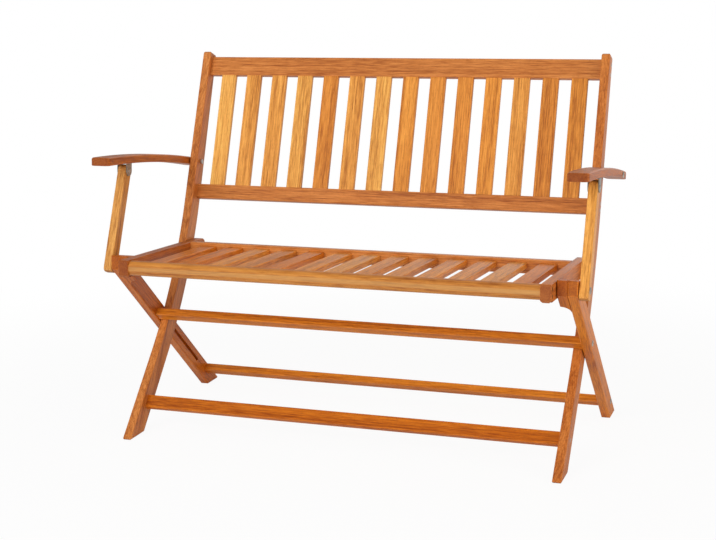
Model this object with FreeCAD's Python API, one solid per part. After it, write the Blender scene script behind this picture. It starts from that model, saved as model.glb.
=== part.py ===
import FreeCAD, Part
import math
import os

os.makedirs("parts", exist_ok=True)
V = FreeCAD.Vector

# A two-seat wooden folding bench, in millimetres.
# X runs along the bench, Y from the front to the back, Z up from the floor.
# Side views are drawn in (y, z) with y = 0 at the toe of the front feet.

# Timber sections
stile_thick = 21.0
leg_thick = 22.5
post_thick = 21.0
seat_rail_thick = 24.0
edge_round = 2.0
bolt_fit = 0.08
joint_fit = 0.15
layer_gap = 1.5

# Layers across the bench, from the back frame outwards
back_half_width = 510.0
stile_outer = back_half_width + stile_thick
leg_inner = stile_outer + layer_gap
leg_outer = leg_inner + leg_thick
post_inner = leg_outer + layer_gap
post_outer = post_inner + post_thick
seat_rail_outer = back_half_width - layer_gap
seat_rail_inner = seat_rail_outer - seat_rail_thick

# Back stile: a board sawn with one bend, its lower half the front leg
stile_foot_y = 36.6
stile_lower_lean = 43.2
stile_upper_lean = 21.2
stile_corner_z = 319.4
stile_bend_reach = 212.0
stile_top_z = 890.0
stile_foot_width = 55.0
stile_low_width = 49.5
stile_high_width = 47.0
stile_top_width = 36.0
stile_top_round = 8.0
stile_top_corner = 6.0
board_round = 3.0

# Backrest
back_rail_thick = 20.0
back_rail_inset = 0.5
top_rail_width = 48.5
top_rail_drop = 15.5
low_rail_width = 37.0
low_rail_z = 522.0
back_slat_count = 14
back_slat_width = 39.5
back_slat_thick = 12.0
slat_housing = 8.0
back_slat_front = 2.0

# Seat
seat_nose_reach = 71.0
seat_tail_reach = 44.5
seat_tilt = 3.2
seat_rail_height = 41.0
seat_end_round = 15.0
seat_nose_chamfer = 6.0
front_rail_setback = 3.0
front_rail_drop = 3.0
front_rail_thick = 22.0
front_rail_height = 33.5
front_rail_round = 7.0
rear_rail_reach = 43.0
rear_rail_thick = 20.0
rear_rail_height = 34.0
seat_slat_count = 13
seat_slat_width = 41.0
seat_slat_thick = 15.0
seat_slat_drop = 8.0

# Pivots in the side view; the four make a parallelogram
seat_rear_pivot_z = 402.3
seat_link = 306.2
arm_pivot_z = 612.0
guide_pin_z = 240.0

# Rear leg and its head
leg_width = 43.5
head_front_offset = 21.0
head_top_offset = 23.8
head_top_depth = 36.0
head_top_slope = 9.0
head_back_slope = 60.0
spacer_reach = 62.0
groove_width = 9.0
groove_depth = 8.0
groove_lead = 26.0
groove_end = 500.0

# Stretchers
stop_rail_width = 27.0
stop_rail_thick = 20.0
stop_rail_inset = 3.6
stop_clearance = 0.3
rear_stretcher_width = 26.0
rear_stretcher_thick = 19.0
rear_stretcher_inset = 3.5
rear_stretcher_along = 559.0
front_stretcher_width = 33.0
front_stretcher_thick = 15.0
front_stretcher_z = 67.7
front_stretcher_shift = 1.0

# Arms
arm_width = 48.0
arm_thick = 19.2
arm_front_y = 5.0
arm_front_z = 678.5
arm_mid_y = 219.0
arm_mid_z = 659.8
arm_rear_y = 507.0
arm_rear_z = 611.5
arm_corner_round = 12.0
arm_edge_round = 5.0
post_width = 30.0
post_tail = 22.0
post_top_reach = 14.5
post_foot_round = 10.0
post_top_round = 13.5
bracket_plate = 2.0
bracket_length = 26.0
bracket_clearance = 0.3
bracket_pin_radius = 3.0

# Fasteners
pivot_radius = 4.0
pivot_head_radius = 8.0
pivot_head_height = 2.5
washer_radius = 9.0
washer_play = 0.4
nut_radius = 6.5
nut_height = 5.0
screw_radius = 2.5
screw_head_radius = 5.0
screw_head_height = 3.0
screw_length = 45.0
bracket_screw_length = 14.0
bracket_screw_radius = 1.75
bracket_screw_head = 3.5
guide_pin_radius = 4.0
guide_pin_grip = 14.0
guide_pin_play = 0.4


# Side-view helpers: a point is a pair (y, z)
def lean_dir(degrees):
    """Direction that rises at an angle back from the vertical."""
    a = math.radians(degrees)
    return (math.sin(a), math.cos(a))


def move(p, d, s):
    return (p[0] + d[0] * s, p[1] + d[1] * s)


def perp(d):
    """Right-hand normal of a direction: to the back of a rising board."""
    return (d[1], -d[0])


def direction(a, b):
    s = math.dist(a, b)
    return ((b[0] - a[0]) / s, (b[1] - a[1]) / s)


def at_height(a, b, z):
    """Point of the line through a and b at height z."""
    t = (z - a[1]) / (b[1] - a[1])
    return (a[0] + (b[0] - a[0]) * t, z)


def cross_lines(a, da, b, db):
    """Point where two side-view lines meet."""
    det = da[0] * db[1] - da[1] * db[0]
    t = ((b[0] - a[0]) * db[1] - (b[1] - a[1]) * db[0]) / det
    return move(a, da, t)


def vec(p, x=0.0):
    return V(x, p[0], p[1])


def line(a, b):
    return Part.LineSegment(vec(a), vec(b)).toShape()


def arc(a, m, b):
    return Part.Arc(vec(a), vec(m), vec(b)).toShape()


def board(edges, x0, x1):
    """Solid with a side-view outline between two places on X."""
    face = Part.Face(Part.Wire(edges))
    solid = face.extrude(V(x1 - x0, 0, 0))
    solid.translate(V(x0, 0, 0))
    return solid


def outline(points):
    return [line(a, b) for a, b in zip(points, points[1:] + points[:1])]


def bar(start, along, length, across, thick, x0, x1):
    """Straight stick of rectangular section, seen in the side view."""
    a = start
    b = move(a, along, length)
    c = move(b, across, thick)
    d = move(a, across, thick)
    return board(outline([a, b, c, d]), x0, x1)


def eased(solid, radius=edge_round):
    return solid.makeFillet(radius, solid.Edges)


def edges_near(solid, p, reach=0.5):
    """Edges along X that pass through a side-view point."""
    found = []
    for e in solid.Edges:
        a, b = e.Vertexes[0].Point, e.Vertexes[-1].Point
        if abs(a.y - b.y) < reach and abs(a.z - b.z) < reach and abs(a.x - b.x) > 1:
            if math.dist((a.y, a.z), p) < reach:
                found.append(e)
    return found


def round_corners(solid, points, radius):
    picked = [e for p in points for e in edges_near(solid, p)]
    return solid.makeFillet(radius, picked)


def rod(p, radius, x0, x1):
    """Round bar along X at a side-view point."""
    low, high = min(x0, x1), max(x0, x1)
    return Part.makeCylinder(radius, high - low, V(low, p[0], p[1]), V(1, 0, 0))


def mirrored(solid):
    return solid.mirror(V(0, 0, 0), V(1, 0, 0))


def both_sides(solid):
    return [solid, mirrored(solid)]


# Back stile lines and the point where they would meet
lower_dir = lean_dir(stile_lower_lean)
upper_dir = lean_dir(stile_upper_lean)
stile_foot = (stile_foot_y, 0.0)
stile_corner = move(stile_foot, lower_dir, stile_corner_z / lower_dir[1])
bend_low = move(stile_corner, lower_dir, -stile_bend_reach)
bend_high = move(stile_corner, upper_dir, stile_bend_reach)
bend_half = math.radians(stile_lower_lean - stile_upper_lean) / 2
bend_radius = stile_bend_reach / math.tan(bend_half)
bend_centre = move(bend_low, perp(lower_dir), -bend_radius)
bend_out = direction(bend_centre, stile_corner)
bend_mid = move(bend_centre, bend_out, bend_radius)


def stile_edge(side):
    """Points of the front (-1) or back (+1) edge, from the floor to the top."""
    mid_width = (stile_low_width + stile_high_width) / 2
    foot = move(stile_foot, perp(lower_dir), side * stile_foot_width / 2)
    low = move(bend_low, perp(lower_dir), side * stile_low_width / 2)
    mid = move(bend_mid, bend_out, side * mid_width / 2)
    high = move(bend_high, perp(upper_dir), side * stile_high_width / 2)
    run = (stile_top_z - bend_high[1]) / upper_dir[1]
    top = move(move(bend_high, upper_dir, run), perp(upper_dir), side * stile_top_width / 2)
    return [at_height(low, foot, 0.0), low, mid, high, top]


front_edge = stile_edge(-1)
back_edge = stile_edge(1)
top_slack = (stile_top_z - front_edge[4][1]) / upper_dir[1]
stile_top_front = move(front_edge[4], direction(front_edge[3], front_edge[4]), top_slack)
stile_top_back = move(back_edge[4], direction(back_edge[3], back_edge[4]), top_slack)


def on_bend(points, z):
    """Where the bend through three points crosses a height."""
    circle = arc(*points).Curve
    return circle.Center.y + math.sqrt(circle.Radius ** 2 - (z - circle.Center.z) ** 2)


def stile_front_y(z):
    """Front edge of the stile at a height, along its lower line, bend or upper line."""
    if z < front_edge[1][1]:
        return at_height(front_edge[0], front_edge[1], z)[0]
    if z > front_edge[3][1]:
        return at_height(front_edge[3], front_edge[4], z)[0]
    return on_bend(front_edge[1:4], z)


def stile_centre(z):
    """Middle of the stile at a height."""
    if z > bend_high[1]:
        return at_height(stile_corner, bend_high, z)
    if z < bend_low[1]:
        return at_height(stile_foot, bend_low, z)
    return (on_bend((bend_low, bend_mid, bend_high), z), z)


# The five pivots
seat_back_dir = (math.cos(math.radians(seat_tilt)), -math.sin(math.radians(seat_tilt)))
seat_down_dir = perp(seat_back_dir)
seat_rear_pivot = stile_centre(seat_rear_pivot_z)
arm_pivot = stile_centre(arm_pivot_z)
guide_pin = stile_centre(guide_pin_z)
seat_front_pivot = move(seat_rear_pivot, seat_back_dir, -seat_link)
post_link = (arm_pivot[0] - seat_rear_pivot[0], arm_pivot[1] - seat_rear_pivot[1])
post_pivot = (seat_front_pivot[0] + post_link[0], seat_front_pivot[1] + post_link[1])
post_dir = direction(seat_front_pivot, post_pivot)

# Seat plane: the rails' centre line passes through both seat pivots
seat_top_at_pivot = move(seat_rear_pivot, seat_down_dir, -seat_rail_height / 2)


def seat_point(y, drop=0.0):
    """Point under the seat rails' top line, by its place front to back."""
    run = (y - seat_top_at_pivot[0]) / seat_back_dir[0]
    return move(move(seat_top_at_pivot, seat_back_dir, run), seat_down_dir, drop)


# Rear leg direction, from the seat's front pivot through the guide pin
leg_dir = direction(seat_front_pivot, guide_pin)
leg_up = (-leg_dir[1], leg_dir[0])


def leg_point(along, above=0.0):
    """Point of the rear leg: distance down it, and height over its centre line."""
    return move(move(seat_front_pivot, leg_dir, along), leg_up, above)


# Backrest plane: along the stiles' straight rear edges, its origin on the rails' front
back_dir = direction(back_edge[3], back_edge[4])
back_plane = move(back_edge[3], perp(back_dir), -back_rail_thick - back_rail_inset)
back_front = at_height(back_plane, move(back_plane, back_dir, 1), low_rail_z)


def build_stile():
    points_front = front_edge[:4] + [stile_top_front]
    points_back = back_edge[:4] + [stile_top_back]
    edges = [
        line(points_front[0], points_front[1]),
        arc(points_front[1], points_front[2], points_front[3]),
        line(points_front[3], points_front[4]),
        line(points_front[4], points_back[4]),
        line(points_back[4], points_back[3]),
        arc(points_back[3], points_back[2], points_back[1]),
        line(points_back[1], points_back[0]),
        line(points_back[0], points_front[0]),
    ]
    blank = board(edges, back_half_width, stile_outer)
    blank = round_corners(blank, [stile_top_front, stile_top_back], stile_top_round)
    blank = eased(blank, board_round)
    waste = [top_corner_waste(back_half_width, -1), top_corner_waste(stile_outer, 1)]
    bores = [rod(p, pivot_radius + bolt_fit, back_half_width - 1, stile_outer + 1)
             for p in (seat_rear_pivot, arm_pivot)]
    bores.append(rod(guide_pin, guide_pin_radius, stile_outer - guide_pin_grip, stile_outer + 1))
    sinks = [countersunk(p, stile_outer, -1) for p in stile_screw_points()]
    return blank.cut(waste + bores + sinks)


def top_corner_waste(x_face, way):
    """What is planed off one upper corner of a stile to round it in the front view."""
    start = move(move(stile_top_front, upper_dir, -stile_top_corner), perp(upper_dir), -stile_foot_width)
    x_centre = x_face - way * stile_top_corner
    length = 3 * stile_foot_width
    block = bar(start, upper_dir, stile_top_corner + 1, perp(upper_dir), length, x_centre, x_face + way)
    axis = perp(upper_dir)
    kept = Part.makeCylinder(stile_top_corner, length, vec(start, x_centre), V(0, axis[0], axis[1]))
    return block.cut(kept)


def screw(p, x_face, way, length=screw_length):
    """Countersunk screw whose flat head lies in a face, pointing along X one way."""
    head = Part.makeCone(screw_head_radius, screw_radius, screw_head_height,
                         V(x_face, p[0], p[1]), V(way, 0, 0))
    shank = Part.makeCylinder(screw_radius, length, V(x_face, p[0], p[1]), V(way, 0, 0))
    socket = Part.makeBox(1.2, 2.4, 2.4, V(x_face - 0.6, p[0] - 1.2, p[1] - 1.2))
    return head.fuse(shank).removeSplitter().cut(socket)


def countersunk(p, x_face, way, length=screw_length):
    """Hole that a countersunk screw fills."""
    head = Part.makeCone(screw_head_radius, screw_radius, screw_head_height,
                         V(x_face, p[0], p[1]), V(way, 0, 0))
    shank = Part.makeCylinder(screw_radius, length, V(x_face, p[0], p[1]), V(way, 0, 0))
    return head.fuse(shank)


# Backrest pieces, drawn up the back from the lower rail's bottom edge
def back_point(up, behind=0.0):
    return move(move(back_front, back_dir, up), perp(back_dir), behind)


top_rail_top = (stile_top_z - top_rail_drop - back_front[1]) / back_dir[1]
top_rail_bottom = top_rail_top - top_rail_width


def back_rail_centres():
    """Screw places in the ends of both back rails, two to an end."""
    middle = back_rail_thick / 2
    return [back_point(up, middle) for up in (
        low_rail_width * 0.28, low_rail_width * 0.72,
        top_rail_bottom + top_rail_width * 0.25, top_rail_bottom + top_rail_width * 0.75)]


front_stretcher_centre = move(stile_centre(front_stretcher_z), perp(lower_dir), front_stretcher_shift)


def stile_screw_points():
    return back_rail_centres() + [front_stretcher_centre]


def end_holes(points, x_face):
    """Pilot holes for the screws in the two ends of a rail."""
    holes = []
    for p in points:
        holes += both_sides(countersunk(p, x_face, -1))
    return holes


def slat_places(count, width, half_width):
    """Left edges of evenly spaced slats, with a gap beside each stile too."""
    gap = (2 * half_width - count * width) / (count + 1)
    return [-half_width + gap + i * (width + gap) for i in range(count)]


def build_back_rail(low, width):
    blank = bar(back_point(low), back_dir, width, perp(back_dir), back_rail_thick,
                -back_half_width, back_half_width)
    along = [e for e in blank.Edges if e.Length > back_half_width]
    blank = blank.makeFillet(edge_round * 1.5, along)
    housings = [s for s in back_slats(joint_fit)]
    return blank.cut(housings + end_holes(stile_screw_points()[:4], stile_outer))


def back_slats(grow=0.0):
    """All back slats, or with growth the housings that they sit in."""
    start = low_rail_width - slat_housing - grow
    length = top_rail_bottom - low_rail_width + 2 * (slat_housing + grow)
    slats = []
    for x in slat_places(back_slat_count, back_slat_width, back_half_width):
        blank = bar(back_point(start, back_slat_front - grow), back_dir, length, perp(back_dir),
                    back_slat_thick + 2 * grow, x - grow, x + back_slat_width + grow)
        if not grow:
            long_edges = [e for e in blank.Edges if e.Length > 0.9 * length]
            blank = blank.makeFillet(edge_round, long_edges)
        slats.append(blank)
    return slats


def build_front_stretcher():
    corner = move(move(front_stretcher_centre, lower_dir, -front_stretcher_width / 2),
                  perp(lower_dir), -front_stretcher_thick / 2)
    blank = bar(corner, lower_dir, front_stretcher_width, perp(lower_dir), front_stretcher_thick,
                -back_half_width, back_half_width)
    along = [e for e in blank.Edges if e.Length > back_half_width]
    return blank.makeFillet(edge_round * 1.5, along).cut(end_holes([front_stretcher_centre], stile_outer))


# Seat pieces
seat_front_y = seat_front_pivot[0] - seat_nose_reach
seat_rail_length = (seat_rear_pivot[0] + seat_tail_reach - seat_front_y) / seat_back_dir[0]
front_rail_y = seat_front_y + front_rail_setback
rear_rail_y = seat_rear_pivot[0] - rear_rail_reach
front_rail_end = seat_point(front_rail_y + front_rail_thick / 2,
                            front_rail_drop + front_rail_height / 2)
rear_rail_end = seat_point(rear_rail_y + rear_rail_thick / 2, rear_rail_height / 2)


def seat_screw_points():
    return [
        move(front_rail_end, seat_down_dir, -front_rail_height / 4),
        move(front_rail_end, seat_down_dir, front_rail_height / 4),
        move(rear_rail_end, seat_down_dir, -rear_rail_height / 4),
        move(rear_rail_end, seat_down_dir, rear_rail_height / 4),
    ]


def build_seat_side_rail():
    front = seat_point(seat_front_y)
    blank = bar(front, seat_back_dir, seat_rail_length, seat_down_dir, seat_rail_height,
                seat_rail_inner, seat_rail_outer)
    rear_top = move(front, seat_back_dir, seat_rail_length)
    rear_low = move(rear_top, seat_down_dir, seat_rail_height)
    front_low = move(front, seat_down_dir, seat_rail_height)
    blank = round_corners(blank, [rear_top, rear_low], seat_end_round)
    blank = blank.makeChamfer(seat_nose_chamfer, edges_near(blank, front_low))
    blank = eased(blank)
    nose = [wedge(front_low, x, way) for x, way in ((seat_rail_inner, 1), (seat_rail_outer, -1))]
    bores = [rod(p, pivot_radius + bolt_fit, seat_rail_inner - 1, seat_rail_outer + 1)
             for p in (seat_front_pivot, seat_rear_pivot)]
    sinks = [countersunk(p, seat_rail_outer, -1) for p in seat_screw_points()]
    return blank.cut(nose + bores + sinks)


def wedge(p, x, way):
    """Corner cut that bevels one lower edge of a seat rail's nose."""
    c = seat_nose_chamfer
    low = move(p, seat_down_dir, 1)
    tip = move(low, seat_back_dir, -1)
    a = vec(tip, x - way)
    corners = [a, a + V(way * (c + 1), 0, 0), a - V(0, seat_down_dir[0], seat_down_dir[1]) * (c + 1)]
    face = Part.Face(Part.makePolygon(corners + [a]))
    return face.extrude(V(0, seat_back_dir[0], seat_back_dir[1]) * (3 * c))


def build_seat_rail(y, drop, thick, height, front_round):
    """Rail across the seat between the side rails."""
    start = seat_point(y, drop)
    blank = bar(start, seat_back_dir, thick, seat_down_dir, height, -seat_rail_inner, seat_rail_inner)
    low = move(start, seat_down_dir, height)
    if front_round:
        blank = round_corners(blank, [start, low], front_round)
    backs = [move(start, seat_back_dir, thick), move(low, seat_back_dir, thick)]
    if not front_round:
        backs += [start, low]
    blank = round_corners(blank, backs, edge_round)
    return blank.cut(seat_slats(joint_fit) + end_holes(seat_screw_points(), seat_rail_outer))


def seat_slats(grow=0.0):
    """All seat slats, or with growth the housings that they sit in."""
    y0 = front_rail_y + front_rail_thick * seat_back_dir[0] - slat_housing - grow
    start = seat_point(y0, seat_slat_drop - grow)
    inner = (rear_rail_y - front_rail_y) / seat_back_dir[0] - front_rail_thick
    length = inner + 2 * (slat_housing + grow)
    slats = []
    for x in slat_places(seat_slat_count, seat_slat_width, seat_rail_inner):
        blank = bar(start, seat_back_dir, length, seat_down_dir, seat_slat_thick + 2 * grow,
                    x - grow, x + seat_slat_width + grow)
        if not grow:
            long_edges = [e for e in blank.Edges if e.Length > 0.9 * length]
            blank = blank.makeFillet(edge_round, long_edges)
        slats.append(blank)
    return slats


# Rear legs
head_front_y = seat_front_pivot[0] - head_front_offset
head_top_z = seat_front_pivot[1] + head_top_offset
leg_low_line = (leg_point(0, -leg_width / 2), leg_point(1, -leg_width / 2))
leg_high_line = (leg_point(0, leg_width / 2), leg_point(1, leg_width / 2))
head_low_corner = cross_lines(leg_low_line[0], leg_dir, (head_front_y, 0), (0, 1))
head_back_corner = move((head_front_y, head_top_z), lean_dir(90 + head_top_slope), head_top_depth)
head_back_foot = cross_lines(leg_high_line[0], leg_dir, head_back_corner, lean_dir(90 + head_back_slope))


def stop_rail_face():
    """Distance down the leg at which the stop rail's far face meets the stiles' front edges."""
    low, high = -leg_width / 2 + stop_rail_inset, -leg_width / 2 + stop_rail_inset + stop_rail_thick
    reach = rear_stretcher_along
    for above in (low, high):
        near, far = 0.0, rear_stretcher_along
        while far - near > 0.001:
            middle = (near + far) / 2
            p = leg_point(middle, above)
            if p[0] > stile_front_y(p[1]):
                far = middle
            else:
                near = middle
        reach = min(reach, near)
    return reach - stop_clearance


stop_rail_far = stop_rail_face()
stop_rail_start = leg_point(stop_rail_far - stop_rail_width, -leg_width / 2 + stop_rail_inset)
rear_stretcher_start = leg_point(rear_stretcher_along,
                                 leg_width / 2 - rear_stretcher_inset - rear_stretcher_thick)
leg_screw_points = [
    move(move(stop_rail_start, leg_dir, stop_rail_width / 2), leg_up, stop_rail_thick / 2),
    move(move(rear_stretcher_start, leg_dir, rear_stretcher_width / 2), leg_up, rear_stretcher_thick / 2),
]


def build_rear_leg():
    foot_low = at_height(leg_low_line[0], leg_low_line[1], 0.0)
    foot_high = at_height(leg_high_line[0], leg_high_line[1], 0.0)
    head_top_front = (head_front_y, head_top_z)
    points = [foot_low, head_low_corner, head_top_front, head_back_corner, head_back_foot, foot_high]
    blank = eased(board(outline(points), leg_inner, leg_outer), board_round)
    groove = groove_solid()
    bore = rod(seat_front_pivot, pivot_radius + bolt_fit, leg_inner - 1, leg_outer + 1)
    sinks = [countersunk(p, leg_outer, -1) for p in leg_screw_points]
    return blank.cut([groove, bore] + sinks)


def groove_solid():
    """Blind groove in the inner face, with round ends, for the guide pin."""
    near = math.dist(seat_front_pivot, guide_pin) - groove_lead
    half = groove_width / 2
    x0, x1 = leg_inner - 1, leg_inner + groove_depth
    middle = bar(leg_point(near, -half), leg_dir, groove_end - near, leg_up, groove_width, x0, x1)
    ends = [rod(leg_point(s), half, x0, x1) for s in (near, groove_end)]
    return middle.fuse(ends).removeSplitter()


def build_spacer():
    """Block that fills the head out to the seat rail, its lower end hollowed into the leg."""
    points = [head_low_corner, (head_front_y, head_top_z), head_back_corner, head_back_foot,
              leg_point(spacer_reach, leg_width / 2), leg_point(spacer_reach, -leg_width / 2)]
    blank = board(outline(points), back_half_width, leg_inner)
    inner = [e for e in blank.Edges
             if all(abs(v.Point.x - back_half_width) < 0.01 for v in e.Vertexes)]
    blank = blank.makeFillet(edge_round, inner)
    hollow_radius = leg_inner - back_half_width
    foot = vec(leg_point(spacer_reach, -leg_width), back_half_width)
    hollow = Part.makeCylinder(hollow_radius, 2 * leg_width, foot, V(0, leg_up[0], leg_up[1]))
    bore = rod(seat_front_pivot, pivot_radius + bolt_fit, back_half_width - 1, leg_inner + 1)
    return blank.cut([hollow, bore])


def build_cross_rail(start, width, thick):
    """Rail between the rear legs, set square to them."""
    blank = bar(start, leg_dir, width, leg_up, thick, -leg_inner, leg_inner)
    along = [e for e in blank.Edges if e.Length > leg_inner]
    return blank.makeFillet(edge_round * 1.5, along).cut(end_holes(leg_screw_points, leg_outer))


# Arms
arm_inner = leg_inner
arm_outer = arm_inner + arm_width


def arm_centre_arc():
    """Circle of the arm's top edge: its centre and radius."""
    top = arc((arm_front_y, arm_front_z), (arm_mid_y, arm_mid_z), (arm_rear_y, arm_rear_z))
    return (top.Curve.Center.y, top.Curve.Center.z)


arm_arc_centre = arm_centre_arc()


def arm_drop(p, drop):
    """Point moved from the arm's top edge into its thickness."""
    return move(p, direction(arm_arc_centre, p), -drop)


arm_top_points = [(arm_front_y, arm_front_z), (arm_mid_y, arm_mid_z), (arm_rear_y, arm_rear_z)]
arm_low_points = [arm_drop(p, arm_thick) for p in arm_top_points]


def arm_under(p):
    """Point of the arm's underside nearest a side-view point."""
    radius = math.dist(arm_arc_centre, arm_low_points[0])
    return move(arm_arc_centre, direction(arm_arc_centre, p), radius)


arm_seat_point = arm_under(post_pivot)
arm_down_dir = direction(arm_seat_point, post_pivot)
arm_along_dir = (-arm_down_dir[1], arm_down_dir[0])


def build_armrest():
    top, low = arm_top_points, arm_low_points
    edges = [arc(top[0], top[1], top[2]), line(top[2], low[2]), arc(low[2], low[1], low[0]), line(low[0], top[0])]
    blank = board(edges, arm_inner, arm_outer)
    upright = [e for e in blank.Edges if abs(e.Length - arm_thick) < 0.5]
    blank = blank.makeFillet(arm_corner_round, upright)
    blank = blank.makeFillet(arm_edge_round, rim_edges(blank, arm_top_points))
    blank = blank.makeFillet(edge_round, rim_edges(blank, arm_low_points))
    bore = rod(arm_pivot, pivot_radius + bolt_fit, arm_inner - 1, arm_outer + 1)
    holes = [bracket_screw(p, x) for p, x in bracket_screw_places()]
    return blank.cut([bore] + holes)


def rim_edges(solid, points):
    """Edges of an arm that lie on its top or its bottom arc."""
    radius = math.dist(arm_arc_centre, points[0])
    found = []
    for e in solid.Edges:
        ends = [v.Point for v in e.Vertexes]
        if all(abs(math.dist(arm_arc_centre, (p.y, p.z)) - radius) < 0.2 for p in ends):
            found.append(e)
    return found


def build_arm_post():
    low = move(seat_front_pivot, post_dir, -post_tail)
    length = math.dist(seat_front_pivot, post_pivot) + post_tail + post_top_reach
    corner = move(low, perp(post_dir), -post_width / 2)
    blank = bar(corner, post_dir, length, perp(post_dir), post_width, post_inner, post_outer)
    low_back = move(corner, perp(post_dir), post_width)
    ends = [corner, low_back]
    tops = [move(p, post_dir, length) for p in ends]
    blank = round_corners(blank, ends, post_foot_round)
    blank = round_corners(blank, tops, post_top_round)
    blank = eased(blank)
    bores = [rod(seat_front_pivot, pivot_radius + bolt_fit, post_inner - 1, post_outer + 1),
             rod(post_pivot, bracket_pin_radius + bolt_fit, post_inner - 1, post_outer + 1)]
    return blank.cut(bores)


# Brackets under the arms
ear_inner = post_inner - bracket_clearance
ear_outer = post_outer + bracket_clearance


def bracket_point(along, down):
    return move(move(arm_seat_point, arm_along_dir, along), arm_down_dir, down)


def build_bracket():
    half = bracket_length / 2
    depth = math.dist(arm_seat_point, post_pivot)
    lift = bracket_lift()
    plate = bar(bracket_point(-half, lift), arm_along_dir, bracket_length, arm_down_dir, bracket_plate,
                ear_inner - bracket_plate, ear_outer + bracket_plate)
    solid = plate
    for x0, x1 in ((ear_inner - bracket_plate, ear_inner), (ear_outer, ear_outer + bracket_plate)):
        ear = bar(bracket_point(-half, lift), arm_along_dir, bracket_length, arm_down_dir,
                  depth - lift, x0, x1)
        tip = rod(post_pivot, half, x0, x1)
        solid = solid.fuse([ear, tip])
    solid = solid.removeSplitter()
    holes = [rod(post_pivot, bracket_pin_radius, ear_inner - bracket_plate - 1, ear_outer + bracket_plate + 1)]
    holes += [bracket_screw(p, x) for p, x in bracket_screw_places()]
    return solid.cut(holes)


def bracket_lift():
    """Small step down that keeps the flat plate clear of the curved underside."""
    radius = math.dist(arm_arc_centre, arm_low_points[0])
    return 0.1 + radius - math.sqrt(radius ** 2 - (bracket_length / 2) ** 2)


def bracket_screw_places():
    middle = (post_inner + post_outer) / 2
    reach = bracket_length / 4
    return [(bracket_point(s * reach, bracket_lift() + bracket_plate), middle) for s in (-1, 1)]


def bracket_screw(p, x):
    """Small countersunk screw, driven up through the bracket's plate into the arm."""
    up = V(0, -arm_down_dir[0], -arm_down_dir[1])
    head = Part.makeCone(bracket_screw_head, bracket_screw_radius, bracket_plate, vec(p, x), up)
    shank = Part.makeCylinder(bracket_screw_radius, bracket_screw_length, vec(p, x), up)
    return head.fuse(shank).removeSplitter()


def bracket_fasteners():
    left, right = ear_inner - bracket_plate, ear_outer + bracket_plate
    pin = rod(post_pivot, bracket_pin_radius, left, right)
    caps = [rod(post_pivot, bracket_pin_radius * 1.8, x0, x1)
            for x0, x1 in ((left - 1.5, left), (right, right + 1.5))]
    rivet = pin.fuse(caps).removeSplitter()
    return [rivet] + [bracket_screw(p, x) for p, x in bracket_screw_places()]


# Pivot hardware
def dome_bolt(p, x_head, x_end, head_radius=pivot_head_radius):
    """Bolt along X with a low domed head outside its first place and a plain end."""
    way = 1 if x_end > x_head else -1
    shank = rod(p, pivot_radius, x_head, x_end)
    cap = Part.makeCylinder(head_radius, pivot_head_height, vec(p, x_head), V(-way, 0, 0))
    rim = [e for e in cap.Edges if abs(e.BoundBox.Center.x - (x_head - way * pivot_head_height)) < 0.01
           and e.BoundBox.YLength > 1]
    cap = cap.makeFillet(pivot_head_height * 0.8, rim)
    return shank.fuse(cap).removeSplitter()


def cap_nut(p, x_face, way):
    """Hexagon nut with a short dome, standing on a face along X."""
    corners = [V(x_face, p[0] + nut_radius * math.cos(math.radians(a)),
                 p[1] + nut_radius * math.sin(math.radians(a))) for a in range(0, 361, 60)]
    hexagon = Part.Face(Part.makePolygon(corners)).extrude(V(way * nut_height * 0.6, 0, 0))
    dome = Part.makeCylinder(nut_radius * 0.78, nut_height, vec(p, x_face), V(way, 0, 0))
    rim = [e for e in dome.Edges if abs(e.BoundBox.Center.x - (x_face + way * nut_height)) < 0.01
           and e.BoundBox.YLength > 1]
    dome = dome.makeFillet(nut_height * 0.35, rim)
    bore = Part.makeCylinder(pivot_radius, nut_height * 0.7, vec(p, x_face), V(way, 0, 0))
    return hexagon.fuse(dome).removeSplitter().cut(bore)


def washer(p, x_from):
    """Washer floating in the gap that starts at a place on X."""
    x0, x1 = x_from + washer_play / 2, x_from + layer_gap - washer_play / 2
    return rod(p, washer_radius, x0, x1).cut(rod(p, pivot_radius + bolt_fit, x0 - 1, x1 + 1))


def group(solids):
    return Part.makeCompound([s for solid in solids for s in both_sides(solid)])


nut_reach = nut_height * 0.7
nodes = {}


def add(name, shape):
    nodes[name] = shape


def add_pair(name, shape):
    add("right_" + name, shape)
    add("left_" + name, mirrored(shape))


add_pair("back_stile", build_stile())
add("back_lower_rail", build_back_rail(0.0, low_rail_width))
add("back_top_rail", build_back_rail(top_rail_bottom, top_rail_width))
for i, slat in enumerate(back_slats(), 1):
    add("back_slat_%02d" % i, slat)
add("front_stretcher", build_front_stretcher())
add("guide_pins", group([rod(guide_pin, guide_pin_radius, stile_outer - guide_pin_grip,
                             leg_inner - guide_pin_play)]))
add("stile_screws", group([screw(p, stile_outer, -1) for p in stile_screw_points()]))
add("seat_rear_pivot_bolts", group([dome_bolt(seat_rear_pivot, seat_rail_inner, stile_outer - 0.2)]))
add("arm_pivot_bolts", group([dome_bolt(arm_pivot, arm_outer, back_half_width - nut_reach)]))
add("arm_pivot_nuts", group([cap_nut(arm_pivot, back_half_width, -1)]))
add("stile_pivot_washers", group([washer(seat_rear_pivot, seat_rail_outer), washer(arm_pivot, stile_outer)]))

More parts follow.
